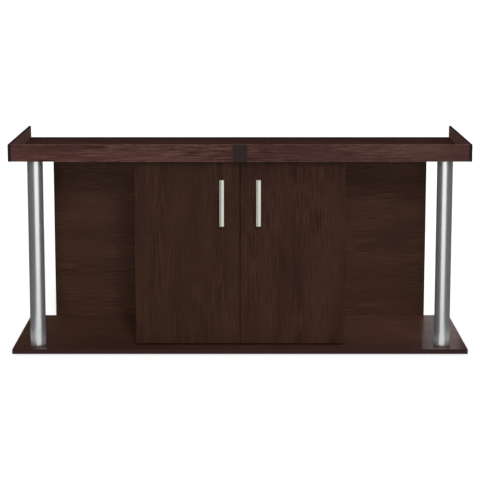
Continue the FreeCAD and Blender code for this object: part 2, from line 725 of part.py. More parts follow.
def make_catch(side, sign):
    """A magnet in a plastic housing on the partition."""
    start = mirrored(sign, BOARD_HALF, f"{BOARD_HALF} + catch_width")
    housing = board(
        f"{side}_catch_housing",
        (start, CATCH_FRONT, f"({CATCH_Z} - catch_height / 2)"),
        ("catch_width", "catch_depth", "catch_height"),
    )
    round_edges(housing, "edge_radius", lambda edge: straight_direction(edge) == "y")
    middle = f"{sign} * {CATCH_X}"
    low = (f"{middle} - magnet_width / 2 - fit_clearance", f"{CATCH_Z} - magnet_height / 2 - fit_clearance")
    high = (f"{middle} + magnet_width / 2 + fit_clearance", f"{CATCH_Z} + magnet_height / 2 + fit_clearance")
    recess(housing, "y", CATCH_FRONT, f"{CATCH_FRONT} + magnet_depth", low, high)
    bores(housing, "x", start, f"{start} + catch_width", clear("catch_screw_radius"), catch_screw_spots())
    board(
        f"{side}_catch_magnet",
        (f"({middle} - magnet_width / 2)", CATCH_FRONT, f"({CATCH_Z} - magnet_height / 2)"),
        ("magnet_width", "magnet_depth", "magnet_height"),
    )


def make_catch_screws():
    body = fastener_body("catch_screws")
    for sign in SIDES.values():
        inner = f"{BOARD_HALF} - {catch_screw_bite()}"
        face = f"{BOARD_HALF} + catch_width"
        start = mirrored(sign, inner, face)
        pegs(body, "x", start, f"{start} + {face} - ({inner})", "catch_screw_radius", catch_screw_spots())
        head = mirrored(sign, face, f"{face} + catch_screw_head_height")
        pegs(body, "x", head, f"{head} + catch_screw_head_height", "catch_screw_head_radius",
             catch_screw_spots())


def strike_screw_spots(sign):
    return [(f"{sign} * {CATCH_X}", CATCH_Z)]


def make_strike(side, sign):
    """The steel plate on a door's back that the magnet holds, and its flush screw."""
    plate = board(
        f"{side}_strike_plate",
        (f"({sign} * {CATCH_X} - strike_width / 2)", DOOR_BACK, f"({CATCH_Z} - strike_height / 2)"),
        ("strike_width", "strike_thickness", "strike_height"),
    )
    round_edges(plate, "edge_radius", lambda edge: straight_direction(edge) == "y")
    spots = strike_screw_spots(sign)
    head_seat = f"({STRIKE_BACK} - strike_screw_head_height)"
    bores(plate, "y", DOOR_BACK, STRIKE_BACK, clear("strike_screw_radius"), spots)
    bores(plate, "y", head_seat, STRIKE_BACK, clear("strike_screw_head_radius"), spots)
    screw = fastener_body(f"{side}_strike_screw")
    pegs(screw, "y", f"{STRIKE_BACK} - strike_screw_length", head_seat, "strike_screw_radius", spots)
    pegs(screw, "y", head_seat, STRIKE_BACK, "strike_screw_head_radius", spots)


def make_column(side, sign):
    body = fastener_body(f"{side}_column")
    spots = [(f"{sign} * {COLUMN_X}", COLUMN_Y)]
    pegs(body, "z", BASE_TOP, TOP_UNDERSIDE, "column_radius", spots)
    doc.recompute()
    stock = body.Tip
    ends = [f"Edge{index}" for index, edge in enumerate(stock.Shape.Edges, start=1) if edge.isClosed()]
    chamfer = body.newObject("PartDesign::Chamfer", "BrokenEnds")
    chamfer.Base = (stock, ends)
    chamfer.setExpression("Size", formula("column_chamfer"))
    bores(body, "z", BASE_TOP, TOP_UNDERSIDE, "column_radius - column_wall", spots)


def make_column_fixings():
    """Threaded plugs in the column ends, and the bolts that pull base and top against them."""
    plugs = fastener_body("column_plugs")
    plug_radius = "(column_radius - column_wall - plug_clearance)"
    lower_end = f"({BASE_TOP} + plug_length)"
    upper_end = f"({TOP_UNDERSIDE} - plug_length)"
    pegs(plugs, "z", BASE_TOP, lower_end, plug_radius, COLUMN_SPOTS)
    pegs(plugs, "z", upper_end, TOP_UNDERSIDE, plug_radius, COLUMN_SPOTS)
    bores(plugs, "z", BASE_TOP, lower_end, clear("bolt_radius"), COLUMN_SPOTS)
    bores(plugs, "z", upper_end, TOP_UNDERSIDE, clear("bolt_radius"), COLUMN_SPOTS)

    bolts = fastener_body("column_bolts")
    lower_seat = f"(glide_height + {head_room('bolt')})"
    upper_seat = f"({TOP_FACE} - {head_room('bolt')})"
    lower_face = f"({lower_seat} - bolt_head_height)"
    upper_face = f"({upper_seat} + bolt_head_height)"
    pegs(bolts, "z", lower_seat, f"{BASE_TOP} + bolt_bite", "bolt_radius", COLUMN_SPOTS)
    pegs(bolts, "z", lower_face, lower_seat, "bolt_head_radius", COLUMN_SPOTS)
    pegs(bolts, "z", f"{TOP_UNDERSIDE} - bolt_bite", upper_seat, "bolt_radius", COLUMN_SPOTS)
    pegs(bolts, "z", upper_seat, upper_face, "bolt_head_radius", COLUMN_SPOTS)
    sockets(bolts, "z", lower_face, f"{lower_face} + bolt_socket_depth", "bolt_socket_flats", COLUMN_SPOTS)
    sockets(bolts, "z", f"{upper_face} - bolt_socket_depth", upper_face, "bolt_socket_flats", COLUMN_SPOTS)


def make_grommets():
    """Rings that line the hose holes, with their flanges inside the cabinet."""
    for side, spot in zip(SIDES, grommet_spots()):
        body = fastener_body(f"{side}_hose_grommet")
        flange_face = f"({BACK_FACE} - grommet_flange_thickness)"
        pegs(body, "y", flange_face, BACK_FACE, f"{GROMMET_RADIUS} + grommet_flange", [spot])
        pegs(body, "y", flange_face, PANEL_BACK, GROMMET_RADIUS, [spot])
        bores(body, "y", flange_face, PANEL_BACK, "hose_radius", [spot])


def make_base_screws():
    """Screws from below the base into the uprights' lower edges."""
    body = fastener_body("base_screws")
    spots = pairs(UPRIGHTS, BASE_SCREW_Y)
    seat = f"(glide_height + {head_room('base_screw')})"
    face = f"({seat} - base_screw_head_height)"
    pegs(body, "z", seat, f"{BASE_TOP} + base_screw_bite", "base_screw_radius", spots)
    pegs(body, "z", face, seat, "base_screw_head_radius", spots)
    sockets(body, "z", face, f"{face} + base_screw_socket_depth", "base_screw_socket_flats", spots)


def make_back_screws():
    """Screws through the back panel into the uprights and the base."""
    body = fastener_body("back_screws")
    spots = back_screw_spots()
    seat = f"({PANEL_BACK} - {head_room('back_screw')})"
    face = f"({seat} + back_screw_head_height)"
    pegs(body, "y", f"{BACK_FACE} - back_screw_bite", seat, "back_screw_radius", spots)
    pegs(body, "y", seat, face, "back_screw_head_radius", spots)
    sockets(body, "y", f"{face} - back_screw_socket_depth", face, "back_screw_socket_flats", spots)


def make_cam_fittings():
    """Discs in the uprights that grip bolts standing in the top panel."""
    discs = fastener_body("cam_discs")
    for start in cam_starts():
        pegs(discs, "x", start, f"{start} + {CAM_DEPTH}", "cam_radius", pairs(CAM_Y, [CAM_Z]))
    bores(discs, "z", f"{CAM_Z} - fit_clearance", f"{CAM_Z} + cam_radius", clear("cam_bolt_radius"),
          pairs(UPRIGHTS, CAM_Y))
    bolts = fastener_body("cam_bolts")
    pegs(bolts, "z", CAM_Z, f"{TOP_UNDERSIDE} + cam_bolt_bite", "cam_bolt_radius", pairs(UPRIGHTS, CAM_Y))


def make_dowels():
    panel = fastener_body("panel_dowels")
    spots = pairs(UPRIGHTS, [UPRIGHT_MIDDLE]) + pairs(BACK_DOWEL_X, [BACK_DOWEL_Y])
    pegs(panel, "z", f"{TOP_UNDERSIDE} - dowel_lower_bite", f"{TOP_UNDERSIDE} + dowel_upper_bite",
         "dowel_radius", spots)

    rim = fastener_body("rim_dowels")
    edge = f"({FRONT} + rim_thickness)"
    pegs(rim, "y", f"{edge} - rim_dowel_outer_bite", f"{edge} + rim_dowel_inner_bite", "rim_dowel_radius",
         pairs(FASCIA_DOWEL_X, [TOP_MIDDLE]))
    for sign in SIDES.values():
        inner = f"{TRAY_WIDTH} / 2 - rim_dowel_inner_bite"
        outer = f"{TRAY_WIDTH} / 2 + rim_dowel_outer_bite"
        start = mirrored(sign, inner, outer)
        pegs(rim, "x", start, f"{start} + rim_dowel_inner_bite + rim_dowel_outer_bite", "rim_dowel_radius",
             pairs(RIM_DOWEL_Y, [TOP_MIDDLE]))


def make_glides():
    body = fastener_body("floor_glides")
    pegs(body, "z", "0", "glide_height", "glide_radius", pairs(GLIDE_X, GLIDE_Y))


make_base_panel()
make_top_panel()
make_front_fascia()
make_badge_plate()
make_back_panel()
make_uprights()
make_shelf()
for side, sign in SIDES.items():
    make_rim(side, sign)
    make_door(side, sign)
    make_door_bushes(side, sign)
    make_handle(side, sign)
    make_handle_screws(side, sign)
    make_catch(side, sign)
    make_strike(side, sign)
    make_column(side, sign)
make_pivots()
make_catch_screws()
make_column_fixings()
make_grommets()
make_base_screws()
make_back_screws()
make_cam_fittings()
make_dowels()
make_glides()
doc.recompute()

# Nothing is written unless every object is sound and every cut has removed material
for item in doc.Objects:
    if "Invalid" in item.State or "Error" in item.State:
        raise RuntimeError(f"{item.Label} failed: {item.State}")
    if item.TypeId == "PartDesign::Pocket" and item.Shape.Volume >= item.BaseFeature.Shape.Volume:
        raise RuntimeError(f"{item.Name} cuts nothing")
for body in bodies:
    if body.Shape.isNull() or not body.Shape.isValid():
        raise RuntimeError(f"{body.Label} has no sound shape")

os.makedirs("parts", exist_ok=True)
for body in bodies:
    body.Shape.exportStep(f"parts/{body.Label}.step")
    print(body.Label, len(body.Shape.Solids), round(body.Shape.Volume))
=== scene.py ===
"""Looks of a low, wide aquarium cabinet in dark wenge laminate with satin metal columns."""
import math

import bpy
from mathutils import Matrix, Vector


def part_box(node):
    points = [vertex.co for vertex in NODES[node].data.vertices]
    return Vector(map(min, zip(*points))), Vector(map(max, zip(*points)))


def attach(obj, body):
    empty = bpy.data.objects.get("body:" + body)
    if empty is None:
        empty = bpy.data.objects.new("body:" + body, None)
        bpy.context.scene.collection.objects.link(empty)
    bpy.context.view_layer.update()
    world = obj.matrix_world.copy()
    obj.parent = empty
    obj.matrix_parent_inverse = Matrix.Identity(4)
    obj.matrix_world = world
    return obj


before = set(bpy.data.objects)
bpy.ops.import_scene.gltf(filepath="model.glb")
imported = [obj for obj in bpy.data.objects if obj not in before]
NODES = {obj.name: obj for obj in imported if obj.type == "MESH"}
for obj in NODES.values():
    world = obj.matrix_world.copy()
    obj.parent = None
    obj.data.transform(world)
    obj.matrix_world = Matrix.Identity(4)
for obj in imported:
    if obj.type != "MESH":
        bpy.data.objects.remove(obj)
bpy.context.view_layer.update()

SCENE = bpy.context.scene
SIDES = ("left", "right")

# Camera, fitted to the photograph
CAMERA_PLACE = (0.0, -5.150, 1.364)
CAMERA_PITCH = math.radians(8.509)
CAMERA_LENS = 113.4
CAMERA_SENSOR = 36.0
CAMERA_SHIFT = -0.15

# Light: each lamp's strength, then its height, its turn to the right and its spread in degrees
AMBIENT = 0.13
LAMPS = {
    "key_light": (0.66, 21.5, 11.6, 6.0),
    "soft_key_light": (0.42, 21.5, 11.6, 16.0),
    "low_fill": (1.04, 3.0, 0.0, 12.0),
    "high_light": (0.24, 50.0, 5.0, 30.0),
    "left_side_light": (0.78, 18.0, -80.0, 40.0),
    "right_side_light": (0.78, 18.0, 80.0, 40.0),
    "back_light": (0.62, 25.0, 190.0, 40.0),
}

# Floor: its grey, its own glow, and the depths in metres over which its mirrored glow fades
FLOOR_ALBEDO = 0.90
FLOOR_GLOW = 0.62
FLOOR_GLOW_NEAR = 0.12
FLOOR_FADE_BEFORE = (-3.2, -0.25)
FLOOR_FADE_BEHIND = (0.0, 0.3)
FLOOR_REACH = 60.0

# Cards that only mirrors see: both ends in plan, lowest, highest, grey at the foot and grey above
CARDS = {
    "left_outer_card": ((-0.80, -1.53), (-0.80, 0.20), 0.00, 0.70, 0.40, 0.03),
    "left_inner_card": ((-0.60, -0.263), (-0.632, 0.00), 0.00, 0.65, 0.25, 0.02),
    "right_outer_card": ((0.80, -0.56), (0.80, 0.20), 0.00, 0.70, 0.40, 0.03),
    "right_inner_card": ((0.60, -0.304), (0.637, 0.00), 0.00, 0.65, 0.25, 0.02),
    "left_foot_card": ((-0.6835, -0.23), (-0.648, -0.23), 0.02, 0.055, 0.65, 0.65),
    "right_foot_card": ((0.652, -0.23), (0.693, -0.23), 0.02, 0.055, 0.65, 0.65),
    "left_back_card": ((-1.60, 0.95), (-0.66, 0.95), 0.00, 0.50, 0.03, 0.03),
    "high_back_card": ((-1.60, 0.95), (1.60, 0.95), 0.50, 2.20, 0.03, 0.03),
}
CARD_FOOT_RISE = 0.05

# Colours as sRGB, 0 to 255
DOOR_DARK = (42, 26, 18)
DOOR_LIGHT = (60, 40, 30)
RIGHT_DOOR_DARK = (43, 25, 19)
RIGHT_DOOR_LIGHT = (61, 40, 31)
FASCIA_DARK = (53, 29, 25)
FASCIA_LIGHT = (88, 60, 55)
BOARD_DARK = (42, 26, 20)
BOARD_LIGHT = (60, 41, 33)
RIM_DARK = (81, 53, 47)
RIM_LIGHT = (120, 91, 81)
TOP_DARK = (39, 22, 17)
TOP_LIGHT = (55, 35, 29)
BACK_DARK = (52, 33, 26)
BACK_LIGHT = (73, 51, 41)
# The base's colours are a lighter copy of the board laminate: painted light that stands in for the light the
# base misses under the top panel.
BASE_DARK = (76, 51, 40)
BASE_LIGHT = (100, 71, 57)
BASE_EDGE_RED = (51, 34, 31)
EDGE_BAND = (27, 22, 22)
RIM_BAND = (33, 28, 29)
# Worn edge colour, used also as a painted edge highlight
WORN_EDGE = (112, 88, 78)
DUST = (120, 112, 104)
COLUMN_METAL = (245, 246, 246)
# The handles' two facet colours: painted light on the right facet, painted shade on the left
HANDLE_LIGHT = (221, 221, 211)
HANDLE_DARK = (192, 192, 181)
HANDLE_CLOUD = (150, 146, 138)
BADGE_GREY = (50, 45, 42)
PLATED_STEEL = (182, 184, 186)
DIE_CAST_ZINC = (158, 158, 154)
NYLON_BROWN = (22, 15, 12)
MOULDED_BLACK = (26, 26, 27)
MAGNET_GREY = (40, 40, 43)
BEECH_DARK = (176, 134, 92)
BEECH_LIGHT = (219, 184, 140)

# Painted light and painted shade that multiply a board's colour, and the shares of its width or depth over
# which they fade
TOP_FRONT_TINT = (2.05, 1.78, 1.85)
TOP_FRONT_REACH = (0.60, 0.92)
FASCIA_RIGHT_TINT = (0.90, 0.96, 0.95)
BASE_RIGHT_TINT = (1.50, 1.43, 1.58)
RIGHT_REACH = (0.25, 0.75)
BASE_FRONT_TINT = (0.63, 0.63, 0.65)
BASE_FRONT_REACH = (0.05, 0.45)

# Wenge grain: lumps per metre along and across it, and how bands, streaks and pores are mixed
NOISE_MIDDLE = 0.5
BANDS_PER_METRE = (2.6, 18.0, 18.0)
PATCHES_PER_METRE = (5.0, 13.0, 13.0)
PORES_PER_METRE = (46.0, 820.0, 820.0)
STREAKS_ALONG_METRE = 12.0
PATCH_RANGE = (0.42, 0.66)
STREAK_STRENGTH = (1.0, 5.6)
DARK_STREAK_SHARE = 0.45
GRAIN_MIDDLE = 0.45
PORE_RANGE = (0.60, 0.72)
PORE_SHADE = (0.62, 0.58, 0.56, 1.0)
STREAK_RANGE = (0.2, 0.8)
STREAK_HEIGHT = 0.4
GRAIN_SHEEN = 0.06
GRAIN_STEP = (0.731, 0.417, 0.293)
GRAIN_BUMP = (0.25, 0.0004)

# Banded edges, worn edges with a painted edge highlight, and dust of a board, in metres and in lumps per
# metre
BAND_REACH = (0.0014, 0.0014, 0.0014)
END_BAND_REACH = (0.0032, 0.0014, 0.0014)
RIM_BAND_REACH = (0.0014, 0.0070, 0.0014)
BAND_START = 0.7
EDGE_START = 0.4
WEAR_PER_METRE = (38.0, 38.0, 38.0)
WEAR_RANGE = (0.38, 0.66)
DUST_PER_METRE = (9.0, 9.0, 9.0)
DUST_RANGE = (0.50, 0.80)

# Brushed metal
CLOUDS_PER_METRE = (14.0, 30.0, 30.0)
CLOUD_RANGE = (0.3, 0.7)
LINE_RANGE = (0.25, 0.75)
LINE_SMOOTHER = 0.04
LINE_ROUGHER = 0.05
LINE_DEPTH = 0.0002
HANDLE_TURN = 0.16
HANDLE_CLOUDINESS = 0.12
HANDLE_ROUGHNESS = (0.30, 0.40)
HANDLE_BUMP = 0.06

# Moulded plastic and raw beech
SKIN_PER_METRE = (1400.0, 1400.0, 1400.0)
SKIN_RANGE = (0.3, 0.7)
SKIN_SMOOTHER = 0.05
SKIN_ROUGHER = 0.07
SKIN_BUMP = (0.15, 0.0002)
BLOOM_PER_METRE = (45.0, 45.0, 45.0)
BLOOM_RANGE = (0.35, 0.7)
BLOOM_GAIN = 1.25
BLOOM_LIFT = 0.01
BEECH_ROUGHNESS = 0.62
BEECH_BUMP = (0.3, 0.0002)

# Small domed fittings, in metres
HOLE_PITCH = 0.032
HOLES_EACH_WAY = 5
CAP_RADIUS = 0.0042
CAP_HEIGHT = 0.0008
STOP_INSET = 0.0033
STOP_END = 0.035
STOP_RADIUS = 0.003
STOP_HEIGHT = 0.003
STUD_SEGMENTS = 20
STUD_RINGS = 11
STUD_WELD = 1e-6


def linear(colour):
    """An sRGB colour as the linear one that a shader takes."""
    parts = [value / 255 for value in colour]
    return tuple(p / 12.92 if p <= 0.04045 else ((p + 0.055) / 1.055) ** 2.4 for p in parts) + (1.0,)


# Building node trees

def fill_inputs(tree, node, inputs):
    """Links or sets a node's inputs."""
    for key, value in inputs.items():
        if isinstance(value, bpy.types.NodeSocket):
            tree.links.new(value, node.inputs[key])
        else:
            node.inputs[key].default_value = value


def add_node(tree, kind, inputs=None, **settings):
    """A node with its settings and inputs."""
    node = tree.nodes.new(kind)
    for name, value in settings.items():
        setattr(node, name, value)
    fill_inputs(tree, node, inputs or {})
    return node


def calculate(tree, operation, *values, clamp=False):
    node = add_node(tree, "ShaderNodeMath", dict(enumerate(values)), operation=operation, use_clamp=clamp)
    return node.outputs[0]


def combine_vectors(tree, operation, *values):
    node = add_node(tree, "ShaderNodeVectorMath", dict(enumerate(values)), operation=operation)
    return node.outputs[0]


def blend_colours(tree, share, first, second, blend="MIX"):
    inputs = {0: share, 6: first, 7: second}
    return add_node(tree, "ShaderNodeMix", inputs, data_type="RGBA", blend_type=blend).outputs[2]


def remap(tree, value, from_low, from_high, to_low, to_high):
    inputs = {0: value, 1: from_low, 2: from_high, 3: to_low, 4: to_high}
    return add_node(tree, "ShaderNodeMapRange", inputs, clamp=True).outputs[0]


def join_axes(tree, *values):
    return add_node(tree, "ShaderNodeCombineXYZ", dict(enumerate(values))).outputs[0]


def split_axes(tree, vector):
    return add_node(tree, "ShaderNodeSeparateXYZ", {0: vector}).outputs


def stretched_noise(tree, position, per_metre, detail=2.0, roughness=0.5):
    """Noise whose lumps are as long and wide as one over per_metre says along each axis."""
    place = combine_vectors(tree, "MULTIPLY", position, per_metre)
    inputs = {"Vector": place, "Scale": 1.0, "Detail": detail, "Roughness": roughness}
    return add_node(tree, "ShaderNodeTexNoise", inputs).outputs["Fac"]


def new_group(name, inputs, outputs):
    """An empty shader group with named sockets, and its two end nodes."""
    tree = bpy.data.node_groups.new(name, "ShaderNodeTree")
    for label, kind in inputs:
        tree.interface.new_socket(label, in_out="INPUT", socket_type=kind)
    for label, kind in outputs:
        tree.interface.new_socket(label, in_out="OUTPUT", socket_type=kind)
    return tree, tree.nodes.new("NodeGroupInput").outputs, tree.nodes.new("NodeGroupOutput").inputs


def place_group(tree, group, inputs):
    """A group placed in a material with its own values."""
    node = tree.nodes.new("ShaderNodeGroup")
    node.node_tree = group
    fill_inputs(tree, node, inputs)
    return node.outputs


VECTOR = "NodeSocketVector"
COLOUR = "NodeSocketColor"
VALUE = "NodeSocketFloat"


def make_grain_group():
    """Straight wenge grain along the first axis: broad bands, thin streaks and short dark pores."""
    tree, given, made = new_group(
        "wenge grain",
        [("Position", VECTOR), ("Dark", COLOUR), ("Light", COLOUR), ("Contrast", VALUE),
         ("Streak Width", VALUE)],
        [("Colour", COLOUR), ("Roughness", VALUE), ("Height", VALUE)])
    position = given["Position"]
    fineness = calculate(tree, "DIVIDE", 1.0, given["Streak Width"])
    streaks_per_metre = join_axes(tree, STREAKS_ALONG_METRE, fineness, fineness)
    bands = stretched_noise(tree, position, BANDS_PER_METRE)
    streaks = stretched_noise(tree, position, streaks_per_metre, detail=3.0, roughness=0.62)
    pores = stretched_noise(tree, position, PORES_PER_METRE, detail=1.0)
    patches = stretched_noise(tree, position, PATCHES_PER_METRE, detail=1.0)
    pore_mask = remap(tree, pores, *PORE_RANGE, 0.0, 1.0)
    strength = remap(tree, patches, *PATCH_RANGE, *STREAK_STRENGTH)
    band_part = calculate(tree, "SUBTRACT", bands, NOISE_MIDDLE)
    any_streak = calculate(tree, "SUBTRACT", streaks, NOISE_MIDDLE)
    dark_streak = calculate(tree, "MULTIPLY", any_streak, DARK_STREAK_SHARE)
    streak = calculate(tree, "MAXIMUM", any_streak, dark_streak)
    streak_part = calculate(tree, "MULTIPLY", streak, strength)
    swing = calculate(tree, "MULTIPLY", calculate(tree, "ADD", band_part, streak_part), given["Contrast"])
    share = calculate(tree, "ADD", swing, GRAIN_MIDDLE, clamp=True)
    colour = blend_colours(tree, share, given["Dark"], given["Light"])
    darker = blend_colours(tree, 1.0, colour, PORE_SHADE, blend="MULTIPLY")
    pore_share = calculate(tree, "MULTIPLY", pore_mask, given["Contrast"], clamp=True)
    tree.links.new(blend_colours(tree, pore_share, colour, darker), made["Colour"])
    tree.links.new(remap(tree, streaks, *STREAK_RANGE, GRAIN_SHEEN, -GRAIN_SHEEN), made["Roughness"])
    raised = calculate(tree, "MULTIPLY", streaks, STREAK_HEIGHT)
    tree.links.new(calculate(tree, "SUBTRACT", raised, pore_mask), made["Height"])
    return tree


def make_faces_group():
    """Masks on a board: its faces along each axis, its edges, and the share of its width and depth."""
    tree, given, made = new_group(
        "board faces",
        [("Position", VECTOR), ("Lowest", VECTOR), ("Highest", VECTOR), ("Band Reach", VECTOR),
         ("Edge Width", VALUE)],
        [("X Faces", VALUE), ("Y Faces", VALUE), ("Z Faces", VALUE), ("Edges", VALUE), ("X Share", VALUE),
         ("Y Share", VALUE)])
    edge_start = calculate(tree, "MULTIPLY", given["Edge Width"], EDGE_START)
    from_low = combine_vectors(tree, "SUBTRACT", given["Position"], given["Lowest"])
    from_high = combine_vectors(tree, "SUBTRACT", given["Highest"], given["Position"])
    nearest = split_axes(tree, combine_vectors(tree, "MINIMUM", from_low, from_high))
    reach = split_axes(tree, given["Band Reach"])
    near = []
    for axis in "XYZ":
        band_start = calculate(tree, "MULTIPLY", reach[axis], BAND_START)
        tree.links.new(remap(tree, nearest[axis], band_start, reach[axis], 1.0, 0.0), made[f"{axis} Faces"])
        near.append(remap(tree, nearest[axis], edge_start, given["Edge Width"], 1.0, 0.0))
    first = calculate(tree, "MULTIPLY", near[0], near[1])
    second = calculate(tree, "MULTIPLY", near[1], near[2])
    third = calculate(tree, "MULTIPLY", near[0], near[2])
    edges = calculate(tree, "MAXIMUM", calculate(tree, "MAXIMUM", first, second), third)
    tree.links.new(edges, made["Edges"])
    size = combine_vectors(tree, "SUBTRACT", given["Highest"], given["Lowest"])
    shares = split_axes(tree, combine_vectors(tree, "DIVIDE", from_low, size))
    tree.links.new(shares["X"], made["X Share"])
    tree.links.new(shares["Y"], made["Y Share"])
    return tree


def make_rubbed_group():
    """Patchy worn edges with a painted edge highlight, and dust: where an edge is worn and painted lighter,
    and where a surface has picked up dust.
    """
    tree, given, made = new_group(
        "rubbed and dusty",
        [("Position", VECTOR), ("Edges", VALUE), ("Amount", VALUE)],
        [("Rubbed", VALUE), ("Dust", VALUE)])
    patches = stretched_noise(tree, given["Position"], WEAR_PER_METRE, detail=4.0, roughness=0.65)
    patch_mask = remap(tree, patches, *WEAR_RANGE, 0.0, 1.0)
    rubbed = calculate(tree, "MULTIPLY", given["Edges"], patch_mask)
    tree.links.new(calculate(tree, "MULTIPLY", rubbed, given["Amount"]), made["Rubbed"])
    specks = stretched_noise(tree, given["Position"], DUST_PER_METRE, detail=5.0, roughness=0.7)
    tree.links.new(remap(tree, specks, *DUST_RANGE, 0.0, 1.0), made["Dust"])
    return tree


def make_brushed_group():
    """Fine lines of drawn or brushed metal along the first axis, with faint cloudy handling marks."""
    tree, given, made = new_group(
        "brushed lines",
        [("Position", VECTOR), ("Line Width", VALUE), ("Line Length", VALUE)],
        [("Lines", VALUE), ("Clouds", VALUE)])
    along = calculate(tree, "DIVIDE", 1.0, given["Line Length"])
    across = calculate(tree, "DIVIDE", 1.0, given["Line Width"])
    lines_per_metre = join_axes(tree, along, across, across)
    tree.links.new(stretched_noise(tree, given["Position"], lines_per_metre, detail=3.0), made["Lines"])
    clouds = stretched_noise(tree, given["Position"], CLOUDS_PER_METRE, detail=4.0, roughness=0.6)
    tree.links.new(clouds, made["Clouds"])
    return tree


GRAIN = make_grain_group()
FACES = make_faces_group()
RUBBED = make_rubbed_group()
BRUSHED = make_brushed_group()

AXIS_ORDER = {"x": ("X", "Y", "Z"), "y": ("Y", "Z", "X"), "z": ("Z", "X", "Y")}


def new_material(name, **constants):
    """A material with one principled shader, whose constants sit on its own sockets."""
    material = bpy.data.materials.new(name)
    material.use_nodes = True
    tree = material.node_tree
    shader = tree.nodes["Principled BSDF"]
    for label, value in constants.items():
        shader.inputs[label.replace("_", " ")].default_value = value
    return material, tree, shader


def own_place(tree):
    """The piece's own coordinates in metres."""
    return add_node(tree, "ShaderNodeTexCoord").outputs["Object"]


def turn_along(tree, place, along, offset=(0.0, 0.0, 0.0)):
    """Coordinates turned so that the first axis runs along the grain or the lines, and moved."""
    parts = split_axes(tree, place)
    turned = join_axes(tree, *(parts[axis] for axis in AXIS_ORDER[along]))
    return combine_vectors(tree, "ADD", turned, offset)


def set_bump(tree, shader, height, strength, distance):
    bump = add_node(tree, "ShaderNodeBump", {"Height": height, "Strength": strength, "Distance": distance})
    tree.links.new(bump.outputs["Normal"], shader.inputs["Normal"])


def laminate(node, along, dark, light, contrast=1.0, streak=0.005, roughness=0.42, specular=0.06,
             banded=None, band_reach=BAND_REACH, right_tint=None, front_tint=None,
             front_reach=BASE_FRONT_REACH, wear=0.3, edge_width=0.0016, dust=0.0):
    """Dark wenge laminate on one board, with banded faces, worn edges of its own with a painted edge
    highlight, and painted light and shade where they are given.
    """
    material, tree, shader = new_material(f"wenge_{node}", IOR=1.5, Specular_IOR_Level=specular)
    number = sorted(NODES).index(node)
    offset = tuple(step * number for step in GRAIN_STEP)
    place = own_place(tree)
    grain_place = turn_along(tree, place, along, offset)
    lowest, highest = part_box(node)
    grain = place_group(tree, GRAIN, {
        "Position": grain_place, "Dark": linear(dark), "Light": linear(light),
        "Contrast": contrast, "Streak Width": streak})
    faces = place_group(tree, FACES, {
        "Position": place, "Lowest": lowest, "Highest": highest, "Band Reach": band_reach,
        "Edge Width": edge_width})
    rubbed = place_group(tree, RUBBED, {"Position": place, "Edges": faces["Edges"], "Amount": wear})
    colour = grain["Colour"]
    # Painted light and shade: the board is painted lighter or darker towards its right end and towards its
    # front.
    if right_tint:
        rightness = remap(tree, faces["X Share"], *RIGHT_REACH, 0.0, 1.0)
        colour = blend_colours(tree, rightness, colour, (*right_tint, 1.0), blend="MULTIPLY")
    if front_tint:
        nearness = remap(tree, faces["Y Share"], *front_reach, 1.0, 0.0)
        colour = blend_colours(tree, nearness, colour, (*front_tint, 1.0), blend="MULTIPLY")
    # Worn edges, painted lighter: partly from use, partly a painted edge highlight.
    colour = blend_colours(tree, rubbed["Rubbed"], colour, linear(WORN_EDGE))
    for axis, band_colour in (banded or {}).items():
        colour = blend_colours(tree, faces[f"{axis} Faces"], colour, linear(band_colour))
    if dust:
        dusty = calculate(tree, "MULTIPLY", rubbed["Dust"], dust)
        colour = blend_colours(tree, dusty, colour, linear(DUST))
    tree.links.new(colour, shader.inputs["Base Color"])
    rough = calculate(tree, "ADD", grain["Roughness"], roughness)
    tree.links.new(rough, shader.inputs["Roughness"])
    set_bump(tree, shader, grain["Height"], *GRAIN_BUMP)
    return material


def brushed_metal(name, along, colour, roughness, line_width=0.0006, line_length=0.06, cloudy=0.93,
                  bump=0.06, metallic=1.0):
    """Satin metal with fine lines along one axis."""
    material, tree, shader = new_material(name, Metallic=metallic, IOR=1.5, Specular_IOR_Level=0.1)
    line_place = turn_along(tree, own_place(tree), along)
    brushed = place_group(tree, BRUSHED, {
        "Position": line_place, "Line Width": line_width, "Line Length": line_length})
    tone = remap(tree, brushed["Clouds"], *CLOUD_RANGE, 0.0, 1.0)
    shaded = tuple(part * cloudy for part in linear(colour)[:3]) + (1.0,)
    tree.links.new(blend_colours(tree, tone, shaded, linear(colour)), shader.inputs["Base Color"])
    smoothest = roughness - LINE_SMOOTHER
    roughest = roughness + LINE_ROUGHER
    rough = remap(tree, brushed["Lines"], *LINE_RANGE, smoothest, roughest)
    tree.links.new(rough, shader.inputs["Roughness"])
    set_bump(tree, shader, brushed["Lines"], bump, LINE_DEPTH)
    return material


def handle_metal():
    """Satin handle metal with painted light and shade: the facet turned to the left is painted darker than
    the other.
    """
    material, tree, shader = new_material("satin_handle", Metallic=1.0, IOR=1.5)
    line_place = turn_along(tree, own_place(tree), "z")
    brushed = place_group(tree, BRUSHED, {"Position": line_place, "Line Width": 0.0005, "Line Length": 0.05})
    normal = add_node(tree, "ShaderNodeTexCoord").outputs["Normal"]
    # Painted shade and light: the left facet takes the darker colour, the right facet the lighter one.
    sideways = split_axes(tree, normal)["X"]
    share = remap(tree, sideways, -HANDLE_TURN, HANDLE_TURN, 0.0, 1.0)
    colour = blend_colours(tree, share, linear(HANDLE_DARK), linear(HANDLE_LIGHT))
    cloudy = remap(tree, brushed["Clouds"], *CLOUD_RANGE, 0.0, HANDLE_CLOUDINESS)
    colour = blend_colours(tree, cloudy, colour, linear(HANDLE_CLOUD))
    tree.links.new(colour, shader.inputs["Base Color"])
    rough = remap(tree, brushed["Lines"], *LINE_RANGE, *HANDLE_ROUGHNESS)
    tree.links.new(rough, shader.inputs["Roughness"])
    set_bump(tree, shader, brushed["Lines"], HANDLE_BUMP, LINE_DEPTH)
    return material


